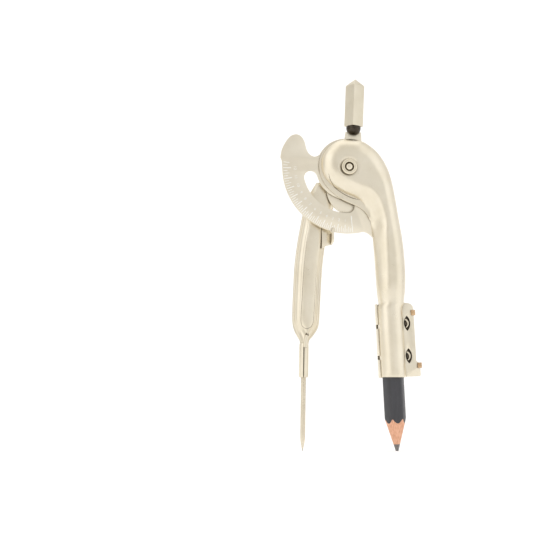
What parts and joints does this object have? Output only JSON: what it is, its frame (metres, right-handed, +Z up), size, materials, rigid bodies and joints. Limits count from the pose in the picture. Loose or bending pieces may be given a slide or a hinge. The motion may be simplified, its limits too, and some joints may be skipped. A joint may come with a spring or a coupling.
{
  "type": "drawing compass",
  "caption": "School drawing compass of nickel-plated pressed steel: pencil leg, needle leg, arc scale, ball-bearing pivot and turning square grip.",
  "frame": {"origin": "on the paper between the two points, under the middle of the object's box", "axes": "+X towards the pencil, +Y from the domed front to the back, +Z up along the grip"},
  "size_m": [0.0524, 0.0119, 0.1382],
  "materials": {
    "nickel": "polished nickel plate over pressed steel",
    "satin_nickel": "satin nickel plate",
    "bright_steel": "bright drawn steel",
    "dark_steel": "blackened and oiled steel",
    "pencil_paint": "dark grey lacquered wood",
    "pencil_wood": "bare sharpened cedar",
    "graphite": "sharpened graphite"
  },
  "bodies": {
    "pencil_arm": {"pencil_leg": "nickel", "arc_scale": "satin_nickel", "sleeve_back": "nickel", "grip_spring": "bright_steel", "pivot_eyelet": "nickel", "pivot_pin": "nickel", "bearing_spring": "bright_steel", "spring_seat": "bright_steel", "tension_washer": "bright_steel"},
    "needle_arm": {"needle_leg": "nickel", "needle": "bright_steel", "thrust_washer": "bright_steel"},
    "handle": {"handle_bracket": "satin_nickel", "bearing_balls": "bright_steel", "knob_stud": "dark_steel", "knob_ring": "bright_steel"},
    "knob": {"handle_knob": "nickel"},
    "pencil": {"pencil_barrel": "pencil_paint", "pencil_wood": "pencil_wood", "pencil_lead": "graphite"}
  },
  "joints": [
    {"name": "leg_swing", "type": "hinge", "parent": "pencil_arm", "child": "needle_arm", "pos_m": [-0.00141, -0.00013, 0.1036], "axis": [0, 1, 0], "range_deg": [-15, 82]},
    {"name": "handle_tilt", "type": "hinge", "parent": "pencil_arm", "child": "handle", "pos_m": [-0.00141, -0.00013, 0.1036], "axis": [0, 1, 0], "range_deg": [-7.5, 41]},
    {"name": "knob_spin", "type": "hinge", "parent": "handle", "child": "knob", "pos_m": [0.00199, 0.0011, 0.12774], "axis": [0.0454, 0, 0.999], "continuous": true},
    {"name": "pencil_slide", "type": "slide", "parent": "pencil_arm", "child": "pencil", "axis": [0.0454, 0, -0.999], "range_m": [-0.003, 0.004]}
  ],
  "couplings": [
    {"joint": "handle_tilt", "follows": "leg_swing", "ratio": 0.5}
  ]
}
